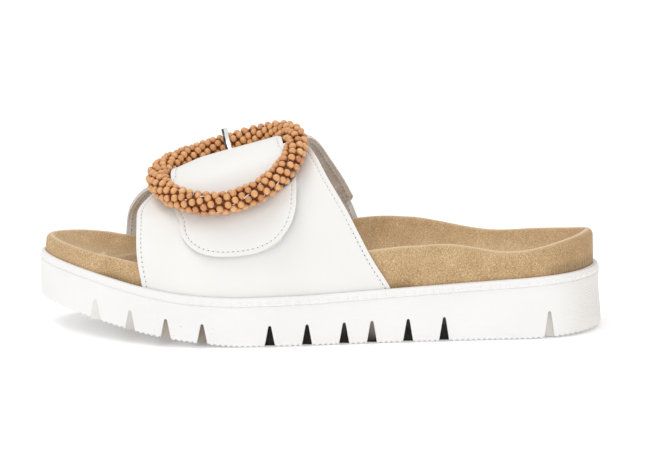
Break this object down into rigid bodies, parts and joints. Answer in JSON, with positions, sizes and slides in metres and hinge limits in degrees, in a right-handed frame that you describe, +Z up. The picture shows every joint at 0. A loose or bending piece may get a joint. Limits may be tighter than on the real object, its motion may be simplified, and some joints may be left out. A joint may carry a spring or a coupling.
{
  "type": "buckle sandal",
  "caption": "Open platform slide sandal with a contoured footbed, two leather panels crossing the instep, and a beaded ring buckle on the strap.",
  "frame": {"origin": "on the ground, under the middle of the sole's length and width", "axes": "toe towards -X, heel towards +X, outer (lateral) side towards -Y, inner side towards +Y, +Z up"},
  "size_m": [0.263, 0.0929, 0.0959],
  "materials": {
    "white_foam": "moulded, matt",
    "tan_suede": "brushed suede",
    "white_leather": "smooth, low sheen",
    "bead_tan": "satin",
    "polished_steel": "polished"
  },
  "bodies": {
    "root": {"sole": "white_foam", "footbed": "tan_suede", "upper": "white_leather", "buckle_ring": "bead_tan", "buckle_prong": "polished_steel"}
  },
  "joints": []
}
